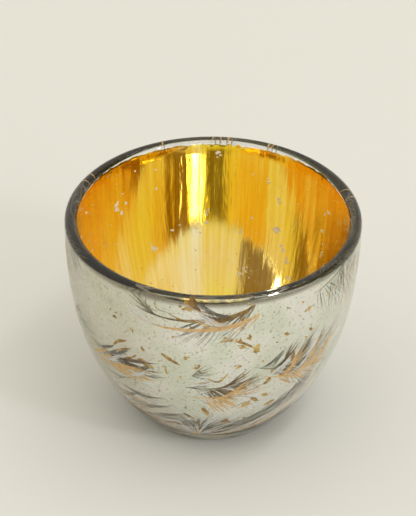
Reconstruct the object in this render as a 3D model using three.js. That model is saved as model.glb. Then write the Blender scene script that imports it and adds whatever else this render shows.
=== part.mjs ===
// Tealight holder: a round bowl of thick smoky glass, silvered and then gilded on its inside.
//
// Units are millimetres and +Z is up. The origin is the centre of the underside, on the surface that
// the bowl stands on. Every piece is a body of revolution about the Z axis:
//
//   glass_bowl    the blown and pressed bowl, with a fire-polished rim and a heavy base
//   silver_coat   the silvering bonded to the inside of the glass, seen from outside through it
//   gold_lining   the gold lacquer over the silvering, seen from above, which the tealight stands on
//
// The two coats are far thinner on a real bowl. Here each is as thick as a solid needs to be.

import * as THREE from "three";

// Driving dimensions of the bowl.
const RIM_RADIUS = 45; // outside, just below the rim
const HEIGHT = 70;
const WALL = 3.8; // thickness at the rim
const FLOOR_THICKNESS = 6;
const FLOOR_RADIUS = 20; // flat floor, which takes a 38 to 39 mm tealight cup
const FOOT_RADIUS = 22; // where the outer wall meets the underside, before the edge is rounded
const FOOT_ROUNDING = 3;

// The underside is hollowed a little, so that the bowl stands on a ring.
const PUNT_RADIUS = 15;
const PUNT_DEPTH = 0.8;

// The walls are cubic curves. A lean is the wall's angle above the horizontal at its foot, and a pull
// is how far the curve keeps to its direction at that end.
const OUTER_LEAN = THREE.MathUtils.degToRad(47);
const OUTER_FOOT_PULL = 18;
const OUTER_RIM_PULL = 40;
const INNER_LEAN = THREE.MathUtils.degToRad(19);
const INNER_FOOT_PULL = 10.6;
const INNER_RIM_PULL = 38;

// Coats on the inside. Both stop a little below the rim, which stays clear glass.
const COAT_TOP = 67.3;
const COAT_THICKNESS = 0.15;

// How finely curves are divided.
const TURN_STEPS = 64;
const WALL_STEPS = 13;
const RIM_STEPS = 8;
const ROUNDING_STEPS = 3;

const RIM_ROUNDING = WALL / 2;
const SHOULDER = HEIGHT - RIM_ROUNDING; // height where the straight wall ends and the round rim begins
const BORE_RADIUS = RIM_RADIUS - WALL;

const point = (radius, height) => new THREE.Vector2(radius, height);

/** A wall from its foot up to its top, where it stands upright. */
function wallCurve(foot, lean, footPull, top, topPull) {
  return new THREE.CubicBezierCurve(
    foot,
    point(foot.x + footPull * Math.cos(lean), foot.y + footPull * Math.sin(lean)),
    point(top.x, top.y - topPull),
    top,
  );
}

/** Points of the rounded edge between the underside and the outer wall, going outwards and up. */
function footEdge(wall) {
  const setback = FOOT_ROUNDING * Math.tan(OUTER_LEAN / 2);
  const edge = new THREE.Path().absarc(
    FOOT_RADIUS - setback,
    FOOT_ROUNDING,
    FOOT_ROUNDING,
    -Math.PI / 2,
    -Math.PI / 2 + OUTER_LEAN,
    false,
  );
  const rounded = edge.getPoints(ROUNDING_STEPS);
  const edgeTop = rounded.at(-1).y;
  return [...rounded, ...wall.filter((p) => p.y > edgeTop + FOOT_ROUNDING)];
}

/** The half circle of the fire-polished rim, from the outer wall over to the inner one. */
function rimPoints() {
  const rim = new THREE.Path().absarc(RIM_RADIUS - RIM_ROUNDING, SHOULDER, RIM_ROUNDING, 0, Math.PI, false);
  return rim.getPoints(RIM_STEPS);
}

/** The inside of the glass as far as the coats reach, from the axis along the floor and up the wall. */
function coatedInside() {
  const wall = wallCurve(
    point(FLOOR_RADIUS, FLOOR_THICKNESS),
    INNER_LEAN,
    INNER_FOOT_PULL,
    point(BORE_RADIUS, COAT_TOP),
    INNER_RIM_PULL,
  );
  return [point(0, FLOOR_THICKNESS), ...wall.getPoints(WALL_STEPS)];
}

/** The outline moved by a distance to its left, with mitred corners. Its ends move squarely. */
function offsetOutline(outline, distance) {
  const normals = outline.slice(1).map((p, i) => {
    const along = p.clone().sub(outline[i]).normalize();
    return point(-along.y, along.x);
  });
  return outline.map((p, i) => {
    const before = normals[Math.max(i - 1, 0)];
    const after = normals[Math.min(i, normals.length - 1)];
    const mitre = before.clone().add(after).normalize();
    return p.clone().addScaledVector(mitre, distance / mitre.dot(before));
  });
}

/** Turns an outline about the Z axis. It starts and ends on the axis and goes outwards first. */
function turned(outline) {
  return new THREE.LatheGeometry(outline, TURN_STEPS).rotateX(Math.PI / 2);
}

function glassGeometry() {
  const outerWall = wallCurve(
    point(FOOT_RADIUS, 0),
    OUTER_LEAN,
    OUTER_FOOT_PULL,
    point(RIM_RADIUS, SHOULDER),
    OUTER_RIM_PULL,
  );
  const underside = [point(0, PUNT_DEPTH), point(PUNT_RADIUS - PUNT_DEPTH, PUNT_DEPTH), point(PUNT_RADIUS, 0)];
  const outside = footEdge(outerWall.getPoints(WALL_STEPS).slice(0, -1));
  return turned([...underside, ...outside, ...rimPoints(), ...coatedInside().reverse()]);
}

/** A coat on the inside of the glass, between two distances from its surface. */
function coatGeometry(from, to) {
  const inside = coatedInside();
  return turned([...offsetOutline(inside, from), ...offsetOutline(inside, to).reverse()]);
}

function part(name, geometry, finish) {
  const mesh = new THREE.Mesh(geometry, new THREE.MeshStandardMaterial(finish));
  mesh.name = name;
  return mesh;
}

const tealightHolder = new THREE.Group();
tealightHolder.add(
  part("glass_bowl", glassGeometry(), {
    color: 0xc4ccb8,
    roughness: 0.04,
    metalness: 0,
    transparent: true,
    opacity: 0.35,
  }),
  part("silver_coat", coatGeometry(0, COAT_THICKNESS), { color: 0xc8cdb9, roughness: 0.2, metalness: 0.9 }),
  part("gold_lining", coatGeometry(COAT_THICKNESS, 2 * COAT_THICKNESS), {
    color: 0xe0a81c,
    roughness: 0.12,
    metalness: 1,
  }),
);

export default tealightHolder;
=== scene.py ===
"""The looks of the tealight holder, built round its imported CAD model.

A bowl of thick smoky glass is silvered and then gilded on its inside, and sprays of leaves are cut into
its outside. Some of the cuts are rubbed with gilt and the others are left as ground glass.

Lengths are metres, except in the tables, which say mm. Heights are above the surface that the bowl stands
on, and angles are degrees where nothing else is said. Azimuth 0 is the side that faces the camera (-Y),
and it grows towards the right (+X).
"""

import math
import random

import bpy
import numpy as np
from mathutils import Matrix, Vector


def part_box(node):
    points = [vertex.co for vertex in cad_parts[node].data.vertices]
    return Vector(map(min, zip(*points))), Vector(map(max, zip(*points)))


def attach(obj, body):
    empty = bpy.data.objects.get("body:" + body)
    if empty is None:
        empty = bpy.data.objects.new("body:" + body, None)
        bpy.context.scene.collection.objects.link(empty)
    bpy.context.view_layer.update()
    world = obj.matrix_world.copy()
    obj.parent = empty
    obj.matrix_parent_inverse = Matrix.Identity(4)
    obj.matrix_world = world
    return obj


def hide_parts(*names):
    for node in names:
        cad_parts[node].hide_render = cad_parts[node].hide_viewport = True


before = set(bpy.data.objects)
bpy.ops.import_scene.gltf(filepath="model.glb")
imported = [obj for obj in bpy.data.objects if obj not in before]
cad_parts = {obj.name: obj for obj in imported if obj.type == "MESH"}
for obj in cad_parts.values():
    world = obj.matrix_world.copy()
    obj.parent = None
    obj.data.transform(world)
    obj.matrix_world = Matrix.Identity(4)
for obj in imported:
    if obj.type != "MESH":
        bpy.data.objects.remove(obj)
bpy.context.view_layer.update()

MM = 0.001

# ---- The bowl's outline, as the CAD model has it -----------------------------------------------------

_, GLASS_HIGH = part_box("glass_bowl")
COAT_LOW, COAT_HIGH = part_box("silver_coat")

RIM_RADIUS = GLASS_HIGH.x
HEIGHT = GLASS_HIGH.z
BORE_RADIUS = COAT_HIGH.x
COAT_TOP = COAT_HIGH.z
FLOOR_HEIGHT = COAT_LOW.z
WALL = RIM_RADIUS - BORE_RADIUS
RIM_ROUNDING = WALL / 2
SHOULDER = HEIGHT - RIM_ROUNDING  # height where the outer wall ends and the round rim begins

FOOT_RADIUS = 22 * MM
FOOT_ROUNDING = 3 * MM
FLOOR_RADIUS = 20 * MM
PUNT_RADIUS = 15 * MM  # of the hollow in the underside
PUNT_DEPTH = 0.8 * MM
OUTER_LEAN = math.radians(47)  # the wall's angle above the horizontal at its foot
OUTER_PULLS = (18 * MM, 40 * MM)  # how far the curve keeps to its direction, at its foot and at its top
INNER_LEAN = math.radians(19)
INNER_PULLS = (10.6 * MM, 38 * MM)


def wall_curve(foot, lean, pulls, top, count):
    """A wall as radius and height: a cubic curve from its foot up to its upright top."""
    foot, top = np.array(foot), np.array(top)
    near_foot = foot + pulls[0] * np.array([math.cos(lean), math.sin(lean)])
    near_top = top - [0, pulls[1]]
    t = np.linspace(0, 1, count)[:, None]
    return (
        (1 - t) ** 3 * foot
        + 3 * (1 - t) ** 2 * t * near_foot
        + 3 * (1 - t) * t**2 * near_top
        + t**3 * top
    )


def arc(centre, radius, start, end, count):
    """An arc in the plane of radius and height, from one angle to another."""
    angles = np.radians(np.linspace(start, end, count))
    return np.array(centre) + radius * np.column_stack([np.cos(angles), np.sin(angles)])


def outer_wall(count):
    return wall_curve((FOOT_RADIUS, 0), OUTER_LEAN, OUTER_PULLS, (RIM_RADIUS, SHOULDER), count)


def inner_wall(count):
    return wall_curve((FLOOR_RADIUS, FLOOR_HEIGHT), INNER_LEAN, INNER_PULLS, (BORE_RADIUS, COAT_TOP), count)


def rim_arc(count):
    return arc((RIM_RADIUS - RIM_ROUNDING, SHOULDER), RIM_ROUNDING, 0, 180, count)


class Track:
    """A line in the plane of radius and height, followed by its length from the start."""

    def __init__(self, points):
        self.points = points
        steps = np.linalg.norm(np.diff(points, axis=0), axis=1)
        self.lengths = np.concatenate([[0], np.cumsum(steps)])
        along = np.gradient(points, self.lengths, axis=0)
        self.along = along / np.linalg.norm(along, axis=1)[:, None]

    def at(self, length):
        """Radius and height there."""
        return np.column_stack([np.interp(length, self.lengths, self.points[:, k]) for k in range(2)])

    def normal(self, length):
        """The direction to the right of the track, as radius and height."""
        along = np.column_stack([np.interp(length, self.lengths, self.along[:, k]) for k in range(2)])
        return np.column_stack([along[:, 1], -along[:, 0]])

    def length_at_height(self, height):
        """Below the highest point of the track."""
        rising = slice(0, int(np.argmax(self.points[:, 1])) + 1)
        return float(np.interp(height, self.points[rising, 1], self.lengths[rising]))


WALL_POINTS = 300  # on each wall's track
RIM_POINTS = 60
INNER_RIM_FROM = 40  # the inside's track takes in the points of the rim beyond this one

WHOLE_RIM = rim_arc(RIM_POINTS)
OUTSIDE = Track(np.vstack([outer_wall(WALL_POINTS), WHOLE_RIM[1:]]))
INSIDE = Track(np.vstack([[0, FLOOR_HEIGHT], inner_wall(WALL_POINTS), WHOLE_RIM[:INNER_RIM_FROM:-1]]))
COAT_LENGTH = INSIDE.length_at_height(COAT_TOP)


def around(radius_height, azimuth):
    """Turns radius and height into a point, at an azimuth in radians."""
    radius, height = radius_height[:, 0], radius_height[:, 1]
    return np.column_stack([radius * np.sin(azimuth), -radius * np.cos(azimuth), height])


# ---- Meshes ------------------------------------------------------------------------------------------


def mesh_object(name, points, faces, material, sharp_angle=40):
    mesh = bpy.data.meshes.new(name)
    mesh.from_pydata([tuple(p) for p in points], [], faces)
    mesh.validate()
    mesh.shade_smooth()
    mesh.set_sharp_from_angle(angle=math.radians(sharp_angle))
    mesh.materials.append(material)
    made = bpy.data.objects.new(name, mesh)
    bpy.context.scene.collection.objects.link(made)
    return made


def turned_faces(rows, turns):
    """Faces of a closed body whose rows are a pole on the axis, rings of points, and another pole."""
    faces = []
    rings = rows - 2
    last = 1 + rings * turns

    def corner(ring, turn):
        return 1 + ring * turns + turn % turns

    for turn in range(turns):
        after = turn + 1
        faces.append((0, corner(0, after), corner(0, turn)))
        for ring in range(rings - 1):
            near = (corner(ring, turn), corner(ring, after))
            far = (corner(ring + 1, after), corner(ring + 1, turn))
            faces.append(near + far)
        faces.append((corner(rings - 1, turn), corner(rings - 1, after), last))
    return faces


def turned_body(name, outlines, material, sharp_angle=40):
    """A body of revolution. outlines holds one outline for each azimuth, all from the axis to the axis."""
    turns, rows = outlines.shape[:2]
    azimuths = np.linspace(0, 2 * math.pi, turns, endpoint=False)
    points = [np.array([[0, 0, outlines[0, 0, 1]]])]
    for row in range(1, rows - 1):
        points.append(around(outlines[:, row], azimuths))
    points.append(np.array([[0, 0, outlines[0, -1, 1]]]))
    return mesh_object(name, np.vstack(points), turned_faces(rows, turns), material, sharp_angle)


GLASS_TURNS = 288
WALL_STEPS = 90
RIM_STEPS = 30
FOOT_STEPS = 10
PUNT_STEPS = 6
FOOT_GAP = FOOT_ROUNDING / 3  # least height from the rounded edge up to the first point of the wall


def glass_outline():
    """Out along the underside, up the outside, over the rim, and down the inside to the axis."""
    setback = FOOT_ROUNDING * math.tan(OUTER_LEAN / 2)
    middle = (FOOT_RADIUS - setback, FOOT_ROUNDING)
    edge = arc(middle, FOOT_ROUNDING, -90, -90 + math.degrees(OUTER_LEAN), FOOT_STEPS)
    wall = outer_wall(WALL_STEPS)
    wall = wall[wall[:, 1] > edge[-1, 1] + FOOT_GAP]
    underside = np.array([(0, PUNT_DEPTH)])
    punt = arc((PUNT_RADIUS - PUNT_DEPTH, 0), PUNT_DEPTH, 90, 0, PUNT_STEPS)
    inside = inner_wall(WALL_STEPS)[::-1]
    inner_floor = np.array([(0, FLOOR_HEIGHT)])
    return np.vstack([underside, punt, edge, wall, rim_arc(RIM_STEPS)[1:], inside, inner_floor])


def glass_bowl(material):
    outline = glass_outline()
    return turned_body("clear_bowl", np.repeat(outline[None], GLASS_TURNS, axis=0), material)


def share_between(values, none, full):
    """From 0 to 1 as the values go from none to full."""
    return np.clip((values - none) / (full - none), 0, 1)


COAT_TURNS = 720
COAT_ROWS = 60
COAT_AZIMUTHS = np.linspace(0, 2 * math.pi, COAT_TURNS, endpoint=False)
THINNING = 2 * MM  # both coats thin out towards their upper edge, over this length
THINNEST = 0.08  # what is left at the edge, as a share
SMOOTH_BELOW = 22 * MM  # the ripples of an open face start above this height
ROUGH_ABOVE = 48 * MM  # and are full above this one

# Depths of the coats' two faces from the inner surface of the glass. They overlap a little.
SILVER_DEPTHS = (-0.05 * MM, 0.15 * MM)
GOLD_DEPTHS = (0.14 * MM, 0.3 * MM)

# How much higher than on the CAD model the coats end, and how that changes round the bowl.
EDGE_RAISED = 0.6 * MM
SIDES_RAISED = 0.4 * MM
FRONT_LOWERED = 1.15 * MM


def ripple(seed, waves, size):
    """A smooth random height for each of the coats' azimuths, made of waves round the bowl."""
    draw = random.Random(seed)
    total = np.zeros(COAT_TURNS)
    for wave in waves:
        total += draw.uniform(0.5, 1) * np.sin(wave * COAT_AZIMUTHS + draw.uniform(0, 2 * math.pi))
    return size * total / math.sqrt(len(waves))


def coat(name, material, depths, top_change, face_change):
    """A closed coat on the inside of the glass, between two depths.

    top_change moves its upper edge and face_change its open face, each with a value for each azimuth.
    """
    near, far = depths
    outlines = []
    for top, face in zip(top_change, face_change):
        lengths = np.linspace(0, COAT_LENGTH + top, COAT_ROWS)
        surface = INSIDE.at(lengths)
        inward = -INSIDE.normal(lengths)
        thinning = np.clip((lengths[-1] - lengths) / THINNING, THINNEST, 1)[:, None]
        rough = share_between(surface[:, 1:], SMOOTH_BELOW, ROUGH_ABOVE)
        back = surface + inward * (near * thinning if near > 0 else near)
        front = surface + inward * (far + face * rough) * thinning
        back[0, 0] = front[0, 0] = 0
        outlines.append(np.vstack([back, front[::-1]]))
    return turned_body(name, np.array(outlines), material, sharp_angle=60)


def coat_edge():
    """How much higher than on the CAD model the coats end: most at the sides, and lower at the front."""
    lowered = share_between(np.cos(COAT_AZIMUTHS), 0.1, 0.5)
    return EDGE_RAISED + SIDES_RAISED * np.sin(COAT_AZIMUTHS) ** 2 - FRONT_LOWERED * lowered


def silver_coat(material):
    """The silvering ends just under the lacquer's edge, except where a band of it shows at the back."""
    at_back = share_between(-np.cos(COAT_AZIMUTHS), 0.3, 0.6)
    covered = 0.2 * MM
    band = 0.9 * MM + ripple(seed=3, waves=range(7, 120, 4), size=0.25 * MM)
    top = coat_edge() - covered + at_back * band
    return coat("silvering", material, SILVER_DEPTHS, top, np.zeros(COAT_TURNS))


def gold_lining(material):
    top = coat_edge() + ripple(seed=4, waves=range(4, 90, 3), size=0.15 * MM)
    face = ripple(seed=5, waves=range(8, 80, 3), size=0.022 * MM)
    return coat("gold_lacquer", material, GOLD_DEPTHS, top, face)


# ---- Engraved leaves ---------------------------------------------------------------------------------

# A cut stands out of the glass and goes into it by a share of half its width, up to a limit.
CUT_RISE = 0.14
CUT_RISE_LIMIT = 0.05 * MM
CUT_SINK = 0.4
CUT_SINK_LIMIT = 0.12 * MM
CUT_ENDS = (0.02, 0.985)  # the taper is taken from this stretch, so that neither end is a bare point
CUT_LEAN = 0.8  # below 1, a cut is widest nearer its root
CUT_FULLNESS = 0.7  # below 1, its sides bulge


class Marks:
    """Small closed bodies on a turned surface, gathered in one mesh.

    A place is an azimuth in radians and a length up the track. A heading is 0 to the right and 90 up.
    """

    def __init__(self, track):
        self.track = track
        self.points = []
        self.faces = []

    def walk(self, place, heading, length, bend, steps):
        """Places along a path from a place. Its heading turns by bend altogether."""
        share = np.linspace(0, 1, steps)
        turn = np.radians(heading + bend * (share - 0.5))
        step = length / (steps - 1)
        ups = place[1] + np.concatenate([[0], np.cumsum(step * np.sin(turn[:-1]))])
        ups = np.clip(ups, 0, self.track.lengths[-1])
        radii = self.track.at(ups)[:, 0]
        azimuths = place[0] + np.concatenate([[0], np.cumsum(step * np.cos(turn[:-1]) / radii[:-1])])
        return azimuths, ups

    def sliver(self, azimuths, ups, half_widths, rise, sink, lift=0):
        """A sliver along a path, from sink below its middle to rise above it.

        The middle lies on the surface, or is lifted off it.
        """
        outward = around(self.track.normal(ups), azimuths)
        middle = around(self.track.at(ups), azimuths) + outward * lift
        along = np.gradient(middle, axis=0)
        along /= np.linalg.norm(along, axis=1)[:, None]
        across = np.cross(outward, along) * half_widths[:, None]
        bottom = middle - outward * sink[:, None]
        top = middle + outward * rise[:, None]
        edges = (middle - across, bottom, middle + across, top)
        section = len(edges)
        first = len(self.points)
        last = first + (len(ups) - 1) * section
        for ring in zip(*edges):
            self.points.extend(ring)
        for near in range(first, last, section):
            far = near + section
            for corner in range(section):
                after = (corner + 1) % section
                self.faces.append((near + corner, near + after, far + after, far + corner))
        self.faces.append(tuple(first + corner for corner in reversed(range(section))))
        self.faces.append(tuple(last + corner for corner in range(section)))

    def tapered(self, azimuths, ups, width):
        """A cut along a path, narrow at its start and sharp at its end."""
        share = np.clip(np.linspace(0, 1, len(ups)), *CUT_ENDS)
        half = width / 2 * np.sin(math.pi * share**CUT_LEAN) ** CUT_FULLNESS
        rise = np.minimum(half * CUT_RISE, CUT_RISE_LIMIT)
        sink = np.minimum(half * CUT_SINK, CUT_SINK_LIMIT)
        self.sliver(azimuths, ups, half, rise, sink)

    def cut(self, place, heading, length, width, bend, steps=9):
        """A cut from a place."""
        azimuths, ups = self.walk(place, heading, length, bend, steps)
        self.tapered(azimuths, ups, width)

    def patch(self, place, width, height, tilt, distances, draw):
        """A flat patch with a broken outline, between two distances from the surface."""
        under, shown = distances
        corners = draw.randint(7, 10)
        angles = np.linspace(0, 2 * math.pi, corners, endpoint=False)
        reach = np.array([draw.uniform(0.35, 1.2) for _ in range(corners)]) / 2
        right = reach * width * np.cos(angles)
        up = reach * height * np.sin(angles)
        tilt = math.radians(tilt)
        ups = place[1] + right * math.sin(tilt) + up * math.cos(tilt)
        radii = self.track.at(ups)[:, 0]
        azimuths = place[0] + (right * math.cos(tilt) - up * math.sin(tilt)) / radii
        surface, outward = self.track.at(ups), self.track.normal(ups)
        first = len(self.points)
        for distance in distances:
            self.points.extend(around(surface + outward * distance, azimuths))
        low = [first + k for k in range(corners)]
        high = [first + corners + k for k in range(corners)]
        if shown > under:
            low, high = low[::-1], high[::-1]
        self.faces.append(tuple(low))
        self.faces.append(tuple(reversed(high)))
        for k in range(corners):
            after = (k + 1) % corners
            self.faces.append((low[after], low[k], high[k], high[after]))

    def finish(self, name, material, sharp_angle=80):
        return mesh_object(name, self.points, self.faces, material, sharp_angle)


def on_outside(azimuth, height):
    return math.radians(azimuth), OUTSIDE.length_at_height(height * MM)


def on_inside(azimuth, height):
    return math.radians(azimuth), INSIDE.length_at_height(height * MM)


STEM_STEPS = 33
FAN_ROOT = 0.2  # the stretch of a stem that a fan grows from, as a share of it
FAN_ROUNDING = 1.1  # how much shorter the outer cuts of a fan are, with the square of the place across it
FAN_CURL = 24  # how much the two outermost cuts of a fan bend, between them
SHADE_WIDTH = 0.26 * MM
SHADE_TURN = 3  # from a cut to the painted shade beside it
SHADE_LENGTH = 0.9  # as a share of the cut's
SHADED = {"gilt": 0.2, "ground": 0.35}  # how many of the cuts have painted shade beside them


class Spray:
    """A stem with fans of cuts, some filled with gilt and some left ground, with painted shade for the dark
    walls beside them.
    """

    def __init__(self, stem, stem_width, fans, turn, seed):
        self.draw = random.Random(seed)
        self.cuts = {finish: Marks(OUTSIDE) for finish in ("gilt", "ground", "shade")}
        ends = np.array([on_outside(azimuth + turn, height) for azimuth, height in stem])
        share = np.linspace(0, 1, STEM_STEPS)[:, None]
        bow = 2 * ends[1] - (ends[0] + ends[2]) / 2  # so that the stem passes through its middle place
        self.stem = (1 - share) ** 2 * ends[0] + 2 * share * (1 - share) * bow + share**2 * ends[2]
        self.cuts["gilt"].tapered(self.stem[:, 0], self.stem[:, 1], stem_width * MM)
        for fan in fans:
            self.fan(*fan)

    def fan(self, share, heading, spread, length, count, width, finish):
        """Cuts that open out from a stretch of the stem. The outer ones are shorter."""
        for number in range(count):
            side = number / max(count - 1, 1) - 0.5
            along = np.clip(share + FAN_ROOT * side * np.sign(math.cos(math.radians(heading))), 0, 1)
            root = self.stem[round(along * (STEM_STEPS - 1))]
            towards = heading + spread * side + self.draw.uniform(-3, 3)
            reach = length * (1 - FAN_ROUNDING * side**2) * self.draw.uniform(0.75, 1.1) * MM
            bend = -FAN_CURL * side + self.draw.uniform(-14, 14)
            wide = width * self.draw.uniform(0.6, 1.2) * MM
            self.cuts[finish].cut(root, towards, reach, wide, bend)
            if self.draw.random() < SHADED[finish]:
                self.cuts["shade"].cut(root, towards - SHADE_TURN, SHADE_LENGTH * reach, SHADE_WIDTH, bend)


# Each spray has a stem through three places (azimuth, height in mm), the stem's width in mm, and fans:
# place along the stem, heading, spread, length in mm, number of cuts, their width in mm, finish.
SPRAYS = {
    "arching_spray": (((18, 64), (2, 59.5), (-24, 58.5)), 1.6, (
        (1.0, 156, 48, 12, 9, 0.42, "ground"),
        (0.9, 170, 20, 9, 3, 0.4, "gilt"),
        (0.42, 150, 36, 13, 10, 0.42, "ground"),
        (0.42, 160, 14, 11, 4, 0.42, "gilt"),
        (0.57, 226, 38, 12, 9, 0.42, "ground"),
        (0.1, 222, 20, 11, 3, 0.7, "gilt"),
        (0.15, 232, 34, 13, 7, 0.4, "ground"),
        (0.3, 190, 12, 12, 3, 0.35, "gilt"),
    )),
    "leafy_spray": (((-67, 36), (-46, 34.5), (-31, 32)), 0.45, (
        (0.33, 34, 0, 11, 1, 1.6, "gilt"),
        (0.45, 40, 0, 9, 1, 1.3, "gilt"),
        (0.6, 30, 0, 11, 1, 1.3, "gilt"),
        (0.66, 8, 0, 11, 1, 1.1, "gilt"),
        (0.45, 12, 28, 17, 10, 0.46, "gilt"),
        (0.7, 4, 24, 12, 7, 0.42, "gilt"),
        (0.3, -10, 20, 15, 6, 0.4, "gilt"),
        (0.1, -18, 14, 15, 4, 0.35, "gilt"),
        (0.4, 34, 44, 12, 8, 0.4, "ground"),
        (0.2, -20, 20, 17, 6, 0.35, "ground"),
        (0.8, 36, 34, 9, 6, 0.6, "ground"),
        (1.0, 12, 36, 8, 6, 0.42, "ground"),
    )),
    "open_spray": (((-12, 31), (0, 31), (14, 32.5)), 0.5, (
        (0.66, 30, 38, 12, 10, 0.44, "gilt"),
        (0.5, -44, 44, 11, 13, 0.55, "gilt"),
        (0.8, 8, 30, 12, 5, 0.4, "gilt"),
        (0.85, 4, 50, 12, 10, 0.4, "ground"),
        (0.1, 24, 40, 9, 6, 0.42, "ground"),
        (0.3, -30, 30, 9, 5, 0.4, "ground"),
    )),
    "sprig": (((-9, 36.5), (-5, 37.5), (-1, 38)), 0.35, (
        (0.0, 14, 60, 9, 7, 0.42, "ground"),
    )),
    "dense_spray": (((20, 39), (36, 36), (56, 39)), 0.5, (
        (0.35, 56, 56, 12, 13, 0.42, "gilt"),
        (0.6, 46, 62, 12, 14, 0.42, "gilt"),
        (0.8, 36, 66, 11, 12, 0.4, "gilt"),
        (0.35, -22, 38, 14, 11, 0.42, "gilt"),
        (0.6, -26, 44, 11, 9, 0.42, "gilt"),
        (0.15, 42, 36, 11, 8, 0.42, "ground"),
        (0.5, 44, 40, 17, 9, 0.38, "ground"),
        (0.9, 12, 64, 13, 10, 0.42, "ground"),
        (0.5, -40, 40, 13, 9, 0.42, "ground"),
    )),
    "foot_star": (((-8, 7), (-7, 11), (-7, 15)), 0.5, (
        (0.0, 140, 34, 19, 7, 0.5, "ground"),
        (0.0, 98, 40, 14, 6, 0.42, "ground"),
        (0.0, 60, 26, 15, 5, 0.45, "ground"),
        (0.0, 36, 26, 20, 7, 0.5, "ground"),
        (0.0, 158, 8, 23, 3, 0.5, "gilt"),
        (0.0, 20, 10, 25, 3, 0.5, "gilt"),
        (0.0, 150, 40, 3, 4, 0.8, "gilt"),
    )),
    "lower_left_spray": (((-58, 26), (-40, 21), (-18, 18)), 0.35, (
        (0.1, 20, 30, 12, 4, 0.35, "ground"),
        (0.5, 14, 24, 13, 4, 0.35, "ground"),
        (0.3, -8, 20, 14, 3, 0.4, "gilt"),
    )),
    "lower_right_spray": (((10, 12), (34, 18), (54, 30)), 0.35, (
        (0.15, 34, 24, 15, 6, 0.4, "ground"),
        (0.35, 38, 26, 16, 7, 0.4, "ground"),
        (0.55, 44, 30, 15, 7, 0.4, "ground"),
        (0.8, 48, 36, 15, 8, 0.4, "ground"),
        (0.3, 24, 20, 14, 3, 0.4, "gilt"),
        (0.65, 34, 24, 14, 4, 0.4, "gilt"),
    )),
    "foot_spray_left": (((-56, 18), (-34, 13), (-12, 7)), 0.7, (
        (0.1, 34, 30, 11, 6, 0.42, "ground"),
        (0.3, 24, 24, 15, 7, 0.5, "ground"),
        (0.5, 20, 20, 16, 6, 0.5, "ground"),
        (0.7, 16, 16, 14, 5, 0.5, "ground"),
        (0.2, 10, 14, 16, 4, 0.45, "gilt"),
        (0.5, 8, 10, 14, 3, 0.45, "gilt"),
    )),
    "foot_spray_right": (((-5, 7), (20, 10.5), (48, 19.5)), 0.8, (
        (0.15, 36, 26, 14, 7, 0.42, "ground"),
        (0.32, 38, 30, 15, 9, 0.42, "ground"),
        (0.5, 42, 30, 16, 9, 0.42, "ground"),
        (0.66, 44, 36, 16, 9, 0.42, "ground"),
        (0.82, 44, 40, 15, 9, 0.42, "ground"),
        (0.97, 40, 50, 13, 8, 0.42, "ground"),
        (0.4, 20, 18, 14, 4, 0.5, "gilt"),
        (0.7, 26, 20, 14, 5, 0.5, "gilt"),
    )),
    "rim_spray": (((46, 61), (60, 63), (76, 66)), 0.4, (
        (0.2, -64, 40, 10, 6, 0.4, "ground"),
        (0.5, -76, 44, 14, 9, 0.4, "ground"),
        (0.75, -84, 40, 15, 9, 0.4, "ground"),
        (1.0, -88, 30, 16, 7, 0.4, "ground"),
        (0.6, 30, 40, 9, 6, 0.4, "ground"),
        (0.7, -80, 40, 17, 5, 0.42, "gilt"),
    )),
    "side_spray": (((-104, 58), (-90, 62), (-74, 66)), 0.7, (
        (1.0, -70, 60, 12, 8, 0.42, "ground"),
        (0.6, -80, 50, 14, 8, 0.42, "ground"),
        (0.5, 50, 36, 10, 7, 0.42, "ground"),
        (0.8, -84, 50, 16, 8, 0.6, "gilt"),
    )),
    "lower_side_spray": (((-96, 44), (-82, 40), (-68, 34)), 0.6, (
        (0.3, 50, 50, 12, 7, 0.42, "ground"),
        (0.6, -10, 50, 13, 8, 0.42, "ground"),
        (0.5, 20, 60, 11, 7, 0.6, "gilt"),
    )),
}

# The azimuths where tips of sprays run up over the rim.
RIM_STROKES = (-159, -120, -114, 104, 108, 153.4, 155.2, 157.2, 172.6, 174.8, 177.6, 179.5)
RIM_STROKE_START = 66  # height in mm
RIM_STROKE_LENGTH = 7.5 * MM
RIM_STROKE_WIDTH = 0.5 * MM


def rim_strokes(material):
    draw = random.Random(31)
    marks = Marks(OUTSIDE)
    for azimuth in RIM_STROKES:
        slant = draw.uniform(-16, 16)
        root = on_outside(azimuth, RIM_STROKE_START)
        marks.cut(root, 90 + slant, RIM_STROKE_LENGTH, RIM_STROKE_WIDTH, bend=1.5 * slant, steps=16)
    return marks.finish("rim_strokes", material)


def engraving(materials):
    """The pattern is cut twice, once on each half of the bowl. Yields each piece and its finish."""
    for side, turn in (("front", 0), ("back", 180)):
        for seed, (name, (stem, stem_width, fans)) in enumerate(SPRAYS.items()):
            spray = Spray(stem, stem_width, fans, turn, seed + turn)
            for finish, marks in spray.cuts.items():
                yield marks.finish(f"{name}_{side}_{finish}", materials[finish]), finish


# ---- Faults in the coats -----------------------------------------------------------------------------

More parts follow.
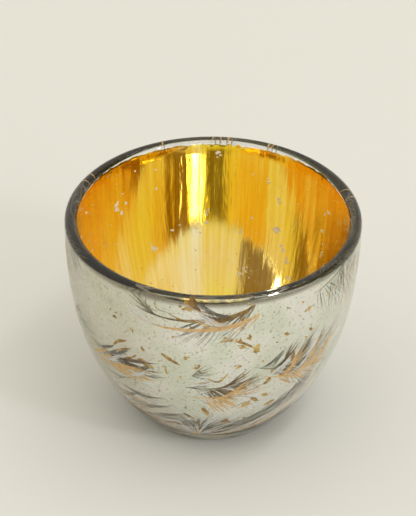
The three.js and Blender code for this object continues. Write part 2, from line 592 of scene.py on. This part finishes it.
# Where the silvering has broken and the gold behind it shows through the glass:
# azimuth, height, width and height of the fleck in mm, tilt.
GOLD_FLECKS = (
    (-42, 54, 2.0, 1.2, 20),
    (-34, 52, 1.4, 1.7, 0),
    (-29, 46, 1.7, 1.5, 30),
    (-10, 46, 1.9, 1.4, 0),
    (-6, 43, 2.2, 1.6, 40),
    (-5, 41, 1.2, 0.9, 0),
    (-19, 40, 1.2, 2.8, 20),
    (-13, 38, 1.5, 1.0, 0),
    (-10.5, 66, 4.6, 2.6, 10),
    (-8, 65.5, 3.6, 2.2, -10),
    (6, 54, 3.4, 1.2, -15),
    (12, 51, 3.0, 1.3, -10),
    (15, 54, 2.4, 1.7, 0),
    (18.5, 49.3, 3.0, 2.8, 10),
    (31, 52, 2.6, 1.2, 10),
    (41, 58, 3.0, 1.2, 35),
    (11, 43, 3.2, 1.2, 40),
    (14, 39, 1.6, 1.4, 30),
    (20, 33, 2.4, 1.2, -10),
    (27, 38, 1.8, 1.8, 30),
    (36, 42, 2.2, 1.6, 50),
    (17, 26, 3.6, 2.0, 0),
    (-8, 16, 2.6, 1.4, 0),
    (8, 17, 3.2, 1.6, 20),
    (-30, 34, 2.6, 1.2, -20),
    (44, 50, 1.6, 1.4, 0),
    (50, 44, 1.6, 2.4, 20),
)
# The longer breaks, and some painted reflections: places along each (azimuth, height in mm), and its width in
# mm.
CRACKS_AND_PAINTED_REFLECTIONS = (
    # A painted reflection of the cuts in the silvering: the loop below the rim.
    (((-7, 67), (-5, 64.5), (-2, 62), (1, 61), (5, 61), (9, 62.5), (13, 64), (16, 65.5), (14, 66.5)), 1.4),
    (((15, 65), (13, 62), (11, 59.5)), 0.8),
    # Painted reflections of the rim: three thin dark hooks.
    (((-29, 66.5), (-30, 65), (-28, 63), (-25, 62)), 0.32),
    (((-26, 66.5), (-27, 65), (-26, 63), (-22, 62)), 0.32),
    (((-22, 66.5), (-23, 65), (-22, 63), (-18, 62.5)), 0.32),
    (((-21, 46.5), (-18, 45), (-13, 43)), 1.8),
    (((-45, 42.5), (-42, 45), (-37, 47)), 1.5),
    (((-43, 41), (-40, 42.5), (-36, 44.5)), 1.2),
    (((-40, 39), (-36, 40.5), (-33, 42.5)), 1.4),
    (((-33, 41), (-30, 41.5), (-29, 41)), 1.4),
    (((-30, 40), (-28, 40), (-25, 39.5)), 2.0),
    (((-2, 38.5), (3, 37), (7, 40.5)), 0.9),
    (((4, 30), (7, 29.5), (10, 30)), 1.1),
    (((10, 33.5), (13, 33.5), (16, 33)), 1.5),
    (((6, 32), (8, 32.5), (10, 32.5)), 1.2),
    (((13, 31), (15, 31), (16, 30)), 1.4),
    (((23, 33.5), (25, 34.5), (26, 36)), 2.2),
    (((23, 29), (25, 28.5), (27, 28)), 2.0),
    (((26, 23), (29, 23.5), (31, 24.5)), 2.4),
    (((18, 28.5), (20, 27.5), (22, 26)), 1.8),
    (((14, 25), (16, 25), (18, 26)), 2.0),
    (((5, 16.5), (7, 17.5), (9, 18.5)), 1.9),
    (((-4, 25), (-3, 23), (-1, 21)), 2.0),
    (((-14, 21), (-11, 19.5), (-8, 18.5)), 1.3),
    (((35, 40), (36, 42), (36, 44)), 1.4),
    (((30, 35.5), (32, 35.5), (34, 34.5)), 1.2),
    (((-18, 62.5), (-12, 60.5), (-5, 60)), 0.7),
    (((3, 53), (8, 53.5), (14, 51.5), (19, 48.5)), 1.2),
)
# Where the lacquer has come off the silvering, as seen from above. The columns are those of the flecks.
SILVER_SPECKS = (
    (-132, 54, 3.2, 2.2, -30),
    (-134, 51, 1.4, 1.6, 20),
    (-153, 55, 1.2, 1.2, 0),
    (178, 65, 2.2, 1.9, 10),
    (-177, 44, 1.4, 1.9, 0),
    (-150, 35, 1.9, 2.2, -20),
    (167, 38, 1.2, 2.2, 30),
    (162, 26, 2.6, 1.6, 40),
    (165, 24, 1.6, 1.6, 0),
    (155, 58, 1.5, 1.6, 0),
    (149, 52, 1.4, 1.9, 0),
    (148, 42, 3.0, 2.2, 30),
    (143, 36, 2.2, 1.8, -20),
    (140, 33, 1.9, 1.6, 20),
    (137, 28, 2.2, 1.6, 10),
    (118, 58, 1.6, 0.9, 30),
    (119, 42, 1.1, 2.4, 30),
    (116, 38, 1.1, 2.2, 20),
)
LOBES = 5  # broken patches that make up a listed fault

# Distances of each kind's two faces outwards from the inner surface of the glass.
FLECK_FACES = (0.03 * MM, 0.09 * MM)
SPECK_FACES = (-0.25 * MM, -0.36 * MM)
NICK_FACES = (-0.25 * MM, -0.34 * MM)
CRACK_MIDDLE = 0.08 * MM
CRACK_HALF = 0.05 * MM  # half of a crack's thickness
CRACK_TIP = 0.1  # how wide it is at its ends, as a share
CRACK_FULLNESS = 0.6  # below 1, its sides bulge

FLAT = 30  # the angle above which the edges of a patch stay sharp


def faults(listed, count, biggest, distances, seed):
    """The listed faults, and small patches scattered over the whole bowl."""
    draw = random.Random(seed)
    marks = Marks(INSIDE)
    for azimuth, height, width, tall, tilt in listed:
        for _ in range(LOBES):
            aside = draw.uniform(-0.4, 0.4) * width
            higher = draw.uniform(-0.5, 0.5) * tall
            near = azimuth + math.degrees(aside * MM / RIM_RADIUS)
            size = draw.uniform(0.3, 0.8) * MM
            marks.patch(on_inside(near, height + higher), width * size, tall * size, tilt, distances, draw)
    for _ in range(count):
        place = on_inside(draw.uniform(-180, 180), draw.uniform(12, 65))
        width = biggest * draw.uniform(0.3, 1) ** 2
        height = width * draw.uniform(0.5, 1.4)
        marks.patch(place, width, height, draw.uniform(0, 90), distances, draw)
    return marks


def smooth_path(corners, steps):
    """A smooth curve through places, as an array with the given number of steps for each stretch."""
    ends = np.vstack([2 * corners[0] - corners[1], corners, 2 * corners[-1] - corners[-2]])
    t = np.linspace(0, 1, steps, endpoint=False)[:, None]
    stretches = []
    for a, b, c, d in zip(ends, ends[1:], ends[2:], ends[3:]):
        bend = (2 * a - 5 * b + 4 * c - d) * t**2 + (3 * b - a - 3 * c + d) * t**3
        stretches.append(b + ((c - a) * t + bend) / 2)
    return np.vstack([*stretches, corners[-1:]])


def crack(marks, places, width, draw):
    """A ribbon through places on the coat, of uneven width and narrow at both ends."""
    path = smooth_path(np.array([on_inside(*place) for place in places]), steps=6)
    uneven = np.array([draw.uniform(0.4, 1.05) for _ in path])
    bulge = np.sin(np.linspace(0, math.pi, len(path))) ** CRACK_FULLNESS
    half = width / 2 * uneven * (CRACK_TIP + (1 - CRACK_TIP) * bulge)
    deep = np.full_like(half, CRACK_HALF)
    marks.sliver(path[:, 0], path[:, 1], half, deep, deep, lift=CRACK_MIDDLE)


def gold_flecks_and_painted_reflections(material):
    marks = faults(GOLD_FLECKS, count=280, biggest=1.3 * MM, distances=FLECK_FACES, seed=21)
    draw = random.Random(23)
    # The cracks, and the painted reflections among them.
    for places, width in CRACKS_AND_PAINTED_REFLECTIONS:
        crack(marks, places, width * MM, draw)
    return marks.finish("gold_flecks_and_painted_reflections", material, sharp_angle=FLAT)


def silver_specks(material):
    marks = faults(SILVER_SPECKS, count=150, biggest=1.7 * MM, distances=SPECK_FACES, seed=22)
    return marks.finish("silver_specks", material, sharp_angle=FLAT)


def lacquer_nicks(material):
    """Short dark nicks low on the lining."""
    draw = random.Random(24)
    marks = Marks(INSIDE)
    for _ in range(160):
        place = on_inside(draw.uniform(-180, 180), draw.uniform(7, 34))
        wide = 0.28 * MM
        tall = draw.uniform(0.4, 1.3) * MM
        marks.patch(place, wide, tall, draw.uniform(-40, 0), NICK_FACES, draw)
    return marks.finish("lacquer_nicks", material, sharp_angle=FLAT)


# ---- Materials ---------------------------------------------------------------------------------------


def new_material(name):
    material = bpy.data.materials.new(name)
    material.use_nodes = True
    material.node_tree.nodes.clear()
    return material


def add(material, kind, inputs=None, **settings):
    """Adds a node. An input is given a value, or is linked to the socket given for it."""
    made = material.node_tree.nodes.new(kind)
    for key, value in settings.items():
        setattr(made, key, value)
    for key, value in (inputs or {}).items():
        if isinstance(value, bpy.types.NodeSocket):
            material.node_tree.links.new(value, made.inputs[key])
        else:
            made.inputs[key].default_value = value
    return made


def finished(material, shader_inputs, output_inputs=None):
    """The material, with its shader and its output added."""
    shader = add(material, "ShaderNodeBsdfPrincipled", shader_inputs)
    surface = {"Surface": shader.outputs["BSDF"]}
    add(material, "ShaderNodeOutputMaterial", {**surface, **(output_inputs or {})})
    return material


def object_place(material):
    return add(material, "ShaderNodeTexCoord").outputs["Object"]


def along_axes(material, place):
    """A place's X, Y and Z, each as a factor."""
    return add(material, "ShaderNodeSeparateXYZ", {0: place}).outputs


def noise_at(material, place, detail, distortion=0.0):
    inputs = {"Vector": place, "Scale": 1.0, "Detail": detail, "Distortion": distortion}
    return add(material, "ShaderNodeTexNoise", inputs).outputs["Fac"]


def noise(material, fineness, detail):
    """Noise whose features are as wide as 1 / fineness, which is given for each axis."""
    scaled = add(material, "ShaderNodeMapping", {"Vector": object_place(material), "Scale": fineness})
    return noise_at(material, scaled.outputs["Vector"], detail)


def computed(material, operation, *values):
    return add(material, "ShaderNodeMath", dict(enumerate(values)), operation=operation).outputs[0]


def vector(material, operation, inputs):
    return add(material, "ShaderNodeVectorMath", inputs, operation=operation).outputs["Vector"]


def ramp(material, factor, stops):
    """Colours along a factor, given as (place, colour) pairs."""
    made = add(material, "ShaderNodeValToRGB", {"Fac": factor})
    points = made.color_ramp.elements
    while len(points) < len(stops):
        points.new(1)
    for point, (at, colour) in zip(points, stops):
        point.position = at
        point.color = (*colour, 1)
    return made.outputs["Color"]


def shades_along(material, factor, shades, start, end):
    """Shades spaced evenly along a factor, from start to end."""
    step = (end - start) / (len(shades) - 1)
    return ramp(material, factor, [(start + number * step, shade) for number, shade in enumerate(shades)])


def stretched(material, factor, low, high):
    """A factor from 0 to 1 stretched to another range."""
    made = add(material, "ShaderNodeMapRange", {"Value": factor, "To Min": low, "To Max": high})
    return made.outputs["Result"]


def between(material, value, none, full):
    """A factor that goes from 0 to 1 as the value goes from none to full."""
    made = add(material, "ShaderNodeMapRange", {"Value": value, "From Min": none, "From Max": full})
    return made.outputs["Result"]


def mixed(material, factor, first, second, how):
    """Two colours mixed. Inputs 6 and 7 of the node are its colours."""
    inputs = {"Factor": factor, 6: first, 7: second}
    return add(material, "ShaderNodeMix", inputs, data_type="RGBA", blend_type=how).outputs[2]


def blend(material, factor, first, second):
    return mixed(material, factor, first, second, "MIX")


def multiplied(material, first, second):
    return mixed(material, 1.0, first, second, "MULTIPLY")


def relief(material, height, strength, depth, under=None):
    """A normal for a surface with relief, which may lie over another one."""
    inputs = {"Height": height, "Strength": strength, "Distance": depth}
    if under is not None:
        inputs["Normal"] = under
    return add(material, "ShaderNodeBump", inputs).outputs["Normal"]


def grained(name, shades, finish, fineness, detail, start=0.3, end=0.7):
    """A material in shades from dark to light, which follow a grain from start to end of its range."""
    material = new_material(name)
    grain = noise(material, (fineness, fineness, fineness), detail)
    return finished(material, {"Base Color": shades_along(material, grain, shades, start, end), **finish})


SMOKE = (0.56, 0.53, 0.42, 1)
SMOKE_DENSITY = 46.0


def smoky_glass():
    material = new_material("smoky_glass")
    smears = noise(material, (60, 60, 25), detail=3.0)
    waves = noise(material, (55, 55, 18), detail=1.0)
    volume = add(material, "ShaderNodeVolumeAbsorption", {"Color": SMOKE, "Density": SMOKE_DENSITY})
    glass = {
        "Base Color": (1, 1, 1, 1),
        "Roughness": stretched(material, smears, low=0.0, high=0.05),
        "IOR": 1.5,
        "Transmission Weight": 1.0,
        "Normal": relief(material, waves, strength=0.5, depth=0.4 * MM),
    }
    return finished(material, glass, {"Volume": volume.outputs["Volume"]})


WHITE = (1.0, 1.0, 1.0)
SILVER_SHADES = (
    (0.38, (0.86, 0.9, 0.8)),
    (0.5, (0.94, 0.97, 0.89)),
    (0.6, (1.0, 1.0, 0.98)),
)
PINHOLE = (0.6, 0.55, 0.46)
EDGE_DARK = (0.2, 0.17, 0.11, 1)
LEFT_SHADE = (0.8, 0.76, 0.7)

# Where the silvering is darker along its edge, and where painted shade darkens it at the left, each from
# where it begins to where it is full.
EDGE_DARK_UP = (65.2 * MM, 66.8 * MM)
EDGE_DARK_ASIDE = (23 * MM, 30 * MM)
EDGE_DARK_FORWARD = (12 * MM, -6 * MM)
SHADE_LEFTWARD = (-6 * MM, -26 * MM)


def silvering():
    """Cloudy, with fine dark pinholes, darker along its edge except at the back, and darker at the left with
    painted shade.
    """
    material = new_material("silvering")
    clouds = noise(material, (75, 75, 75), detail=6.0)
    grain = noise(material, (1300, 1300, 1300), detail=3.0)
    holes = shades_along(material, grain, (PINHOLE, WHITE), start=0.3, end=0.41)
    pitted = multiplied(material, ramp(material, clouds, SILVER_SHADES), holes)
    axes = along_axes(material, object_place(material))
    # Darker along its upper edge, except at the back.
    near_edge = between(material, axes["Z"], *EDGE_DARK_UP)
    beside = between(material, computed(material, "ABSOLUTE", axes["X"]), *EDGE_DARK_ASIDE)
    in_front = between(material, axes["Y"], *EDGE_DARK_FORWARD)
    off_back = computed(material, "MAXIMUM", beside, in_front)
    darker_edge = computed(material, "MULTIPLY", near_edge, off_back)
    # Painted shade: darker towards the left, where the silvering reflects the floor in the bowl's shadow.
    left = between(material, axes["X"], *SHADE_LEFTWARD)
    shaded_left = multiplied(material, pitted, shades_along(material, left, (WHITE, LEFT_SHADE), start=0.0, end=1.0))
    silver = {
        "Base Color": blend(material, darker_edge, shaded_left, EDGE_DARK),
        "Metallic": 1.0,
        "Roughness": stretched(material, clouds, low=0.0, high=0.05),
    }
    return finished(material, silver)


def meridian_place(material, turns, rows):
    """A place that changes round the bowl and hardly at all up its wall, so that noise runs up in streaks."""
    place = object_place(material)
    flat = vector(material, "MULTIPLY", {0: place, 1: (1, 1, 0)})
    ring = vector(material, "NORMALIZE", {0: flat})
    wide = vector(material, "SCALE", {0: ring, "Scale": turns})
    upright = vector(material, "MULTIPLY", {0: place, 1: (0, 0, rows)})
    return vector(material, "ADD", {0: wide, 1: upright})


# The lacquer's shades, from dark to light.
PALE_LOW = ((0.95, 0.77, 0.32), (0.98, 0.86, 0.52))
USUAL = ((0.95, 0.78, 0.1), (0.985, 0.9, 0.28))
DEEP_SIDES = ((0.91, 0.52, 0.03), (0.95, 0.64, 0.07))
PALE_PATCH = (0.98, 0.92, 0.75, 1)

# Painted light: it is paler on the floor and low on the wall, where it reflects brighter light,
# and a deeper orange at the sides, where the light has bounced more often between the gold walls.
PALE_TO_USUAL_UP = (28 * MM, 44 * MM)
DEEP_SIDES_ASIDE = (18 * MM, 38 * MM)

# Two pale runs at the back, a painted highlight that whitens the key light's streak there:
# place along the stretch that they cross, and how pale.
HIGHLIGHT_RUNS_RIGHTWARD = (-15 * MM, 5 * MM)
HIGHLIGHT_RUNS_BACKWARD = (35 * MM, 38.2 * MM)
HIGHLIGHT_RUNS = (
    (0.16, 0.0),
    (0.2, 0.45),
    (0.28, 0.45),
    (0.32, 0.0),
    (0.37, 0.0),
    (0.42, 0.9),
    (0.54, 0.9),
    (0.59, 0.0),
)
# The right side of the front is pale too.
FRONT_RUN_RIGHTWARD = (8 * MM, 12 * MM)
FRONT_RUN_FORWARD = (-20 * MM, -24 * MM)


def pale_runs_and_highlight(material, axes):
    """How pale the lacquer is: a painted highlight at the back, and a pale patch at the right of the front.
    """
    across = between(material, axes["X"], *HIGHLIGHT_RUNS_RIGHTWARD)
    highlight_bands = ramp(material, across, [(at, (bare, bare, bare)) for at, bare in HIGHLIGHT_RUNS])
    behind = between(material, axes["Y"], *HIGHLIGHT_RUNS_BACKWARD)
    right = between(material, axes["X"], *FRONT_RUN_RIGHTWARD)
    in_front = between(material, axes["Y"], *FRONT_RUN_FORWARD)
    # Painted highlight: pale bands under the key light's streak on the back wall.
    back_highlight = computed(material, "MULTIPLY", highlight_bands, behind)
    front_run = computed(material, "MULTIPLY", right, in_front)
    return computed(material, "MAXIMUM", back_highlight, front_run)


def gold_lacquer():
    """Streaked up the wall, with painted light and pale patches that change its colour, and a gloss over it.
    """
    material = new_material("gold_lacquer")
    streaks = noise_at(material, meridian_place(material, turns=30, rows=30), detail=5.0)
    flow = noise_at(material, meridian_place(material, turns=7, rows=45), detail=3.0, distortion=1.2)
    axes = along_axes(material, object_place(material))
    # Painted light: paler low down, and a deeper orange at the sides.
    toward_sides = between(material, computed(material, "ABSOLUTE", axes["X"]), *DEEP_SIDES_ASIDE)
    high = between(material, axes["Z"], *PALE_TO_USUAL_UP)
    pale_shades, usual, deep_shades = (
        shades_along(material, streaks, shades, start=0.41, end=0.58) for shades in (PALE_LOW, USUAL, DEEP_SIDES)
    )
    lacquer = blend(material, high, pale_shades, blend(material, toward_sides, usual, deep_shades))
    fine = relief(material, streaks, strength=0.2, depth=0.2 * MM)
    gold = {
        "Base Color": blend(material, pale_runs_and_highlight(material, axes), lacquer, PALE_PATCH),
        "Metallic": 1.0,
        "Roughness": stretched(material, streaks, low=0.0, high=0.08),
        "Normal": relief(material, flow, strength=0.3, depth=0.3 * MM, under=fine),
        "Coat Weight": 1.0,
        "Coat Roughness": 0.02,
        "Coat IOR": 1.7,
    }
    return finished(material, gold)


def worn_metal(name, shades, finish):
    """Dull patches of one of the coats."""
    return grained(name, shades, finish, fineness=380, detail=5.0, start=0.36, end=0.64)


def broken_gold_and_painted_reflections():
    # It also colours the painted reflections among the cracks.
    shades = ((0.3, 0.16, 0.03), (0.62, 0.36, 0.07), (1.0, 0.72, 0.22))
    return worn_metal("broken_gold_and_painted_reflections", shades, {"Metallic": 0.7, "Roughness": 0.35})


def bare_silver():
    shades = ((0.86, 0.79, 0.66), (1.0, 0.96, 0.88))
    return worn_metal("bare_silver", shades, {"Metallic": 0.1, "Roughness": 0.6})


def cut_surface(name, shades, finish):
    return grained(name, shades, finish, fineness=900, detail=3.0)


def gilt_filling():
    shades = ((0.6, 0.37, 0.13), (0.9, 0.6, 0.26))
    return cut_surface("gilt_filling", shades, {"Metallic": 0.2, "Roughness": 0.45, "Alpha": 0.64})


def shaded_glass():
    """Painted shade for the wall of a cut that faces away from the light."""
    shades = ((0.16, 0.13, 0.09), (0.4, 0.34, 0.26))
    return cut_surface("shaded_glass", shades, {"Roughness": 0.4, "Alpha": 0.65})


def ground_glass():
    shades = ((0.78, 0.79, 0.76), (0.92, 0.92, 0.9))
    return cut_surface("ground_glass", shades, {"Roughness": 0.6, "Alpha": 0.45})


def pale_floor():
    shades = ((0.765, 0.77, 0.745), (0.775, 0.78, 0.755))
    return grained("pale_floor", shades, {"Roughness": 0.9}, fineness=3, detail=2.0)


# ---- Stage -------------------------------------------------------------------------------------------


def floor():
    half = 4.0
    corners = [(-half, -half, 0), (half, -half, 0), (half, half, 0), (-half, half, 0)]
    made = mesh_object("floor", corners, [(0, 1, 2, 3)], pale_floor())


# How bright the room is all round, at the height that the bowl's inside reflects: azimuth and brightness.
ROOM = (
    (-180, 0.85),
    (-60, 0.9),
    (-38, 0.9),
    (-33, 0.25),
    (12, 0.25),
    (17, 0.9),
    (60, 0.9),
    (65, 0.3),
    (122, 0.3),
    (134, 0.85),
    (180, 0.85),
)
PALE = (1.0, 0.957, 0.845)
DARK = (1.0, 0.75, 0.45)  # the tint of its dark sides
DARK_BELOW = 0.5  # sides less bright than this have it
LOW = 0.9  # brightness near the floor
HIGH = 0.98  # brightness overhead
LOW_TO_SIDES = (0.3, 0.42)  # where one turns into the other, as the height of a direction of length 1
SIDES_TO_HIGH = (0.66, 0.76)


def evenly_pale(bright):
    return (*(bright * part for part in PALE), 1)


def surroundings():
    """A pale room. Half way up it is brighter or darker towards different sides."""
    world = bpy.data.worlds.new("studio")
    world.use_nodes = True
    world.node_tree.nodes.clear()
    axes = along_axes(world, add(world, "ShaderNodeTexCoord").outputs["Generated"])
    angle = computed(world, "ARCTAN2", axes["X"], computed(world, "MULTIPLY", axes["Y"], -1.0))
    turn = computed(world, "MULTIPLY_ADD", angle, 1 / (2 * math.pi), 0.5)
    stops = []
    for azimuth, bright in ROOM:
        tint = PALE if bright > DARK_BELOW else DARK
        stops.append((azimuth / 360 + 0.5, tuple(bright * part for part in tint)))
    raised = between(world, axes["Z"], *LOW_TO_SIDES)
    overhead = between(world, axes["Z"], *SIDES_TO_HIGH)
    sides = blend(world, raised, evenly_pale(LOW), ramp(world, turn, stops))
    room = blend(world, overhead, sides, evenly_pale(HIGH))
    background = add(world, "ShaderNodeBackground", {"Color": room, "Strength": 1.0})
    add(world, "ShaderNodeOutputWorld", {"Surface": background.outputs["Background"]})
    bpy.context.scene.world = world
    bpy.context.scene.view_settings.view_transform = "Standard"
    cycles = bpy.context.scene.cycles
    cycles.max_bounces = 32
    cycles.glossy_bounces = 24
    cycles.transmission_bounces = 24


def toward(azimuth, elevation):
    azimuth, elevation = math.radians(azimuth), math.radians(elevation)
    level = math.cos(elevation)
    return Vector((math.sin(azimuth) * level, -math.cos(azimuth) * level, math.sin(elevation)))


MIDDLE = Vector((0, 0, HEIGHT / 2))
LIGHT_DISTANCE = 2.5
LIGHT_COLOUR = (0.95, 0.98, 1.0)
LIGHTS = (  # name, azimuth, elevation, width, height, power
    ("key", 50, 35, 0.28, 0.36, 7),
    ("strip", 58, 68, 2.4, 0.2, 8),
    ("window", 58, 11, 2.2, 0.45, 11),
)


def lights():
    """A key light, a long strip over it and a low window: the rim shows both as long white highlights."""
    for name, azimuth, elevation, width, height, power in LIGHTS:
        light = bpy.data.lights.new(name, "AREA")
        light.shape = "RECTANGLE"
        light.size = width
        light.size_y = height
        light.energy = power
        light.color = LIGHT_COLOUR
        place = toward(azimuth, elevation) * LIGHT_DISTANCE
        made = bpy.data.objects.new(name, light)
        made.location = place
        made.rotation_euler = (MIDDLE - place).to_track_quat("-Z", "Y").to_euler()
        bpy.context.scene.collection.objects.link(made)


CAMERA_DISTANCE = 0.8  # from the middle of the bowl
CAMERA_ELEVATION = 35.91
CAMERA_AIM_UP = 1.09  # the angle by which it looks above the bowl's middle
CAMERA_AIM_LEFT = 0.13  # and to its left
CAMERA_ROLL = 0.6


def camera():
    data = bpy.data.cameras.new("camera")
    data.lens = 180
    data.sensor_width = 36
    data.clip_start = 0.05
    made = bpy.data.objects.new("camera", data)
    elevation = math.radians(CAMERA_ELEVATION)
    back = Vector((0, -math.cos(elevation), math.sin(elevation)))
    turn = (
        Matrix.Rotation(math.radians(CAMERA_AIM_LEFT), 4, "Z")
        @ Matrix.Rotation(math.radians(90 - CAMERA_ELEVATION + CAMERA_AIM_UP), 4, "X")
        @ Matrix.Rotation(math.radians(CAMERA_ROLL), 4, "Z")
    )
    made.matrix_world = Matrix.Translation(MIDDLE + back * CAMERA_DISTANCE) @ turn
    bpy.context.scene.collection.objects.link(made)
    bpy.context.scene.camera = made


def settle(piece, slot, *nodes):
    """Makes a piece part of the object."""
    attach(piece, "root")
    if nodes:
        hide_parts(*nodes)


surroundings()
floor()
lights()
camera()

settle(glass_bowl(smoky_glass()), "smoky_glass", "glass_bowl")
settle(silver_coat(silvering()), "silvering", "silver_coat")
settle(gold_lining(gold_lacquer()), "gold_lacquer", "gold_lining")
fleck_and_reflection_material = broken_gold_and_painted_reflections()
settle(gold_flecks_and_painted_reflections(fleck_and_reflection_material), "gold_lacquer")
settle(silver_specks(bare_silver()), "silvering")
settle(lacquer_nicks(fleck_and_reflection_material), "gold_lacquer")
cut_materials = {"gilt": gilt_filling(), "ground": ground_glass(), "shade": shaded_glass()}
settle(rim_strokes(cut_materials["gilt"]), "gilt_filling")
for piece, finish in engraving(cut_materials):
    settle(piece, "gilt_filling" if finish == "gilt" else "ground_glass")
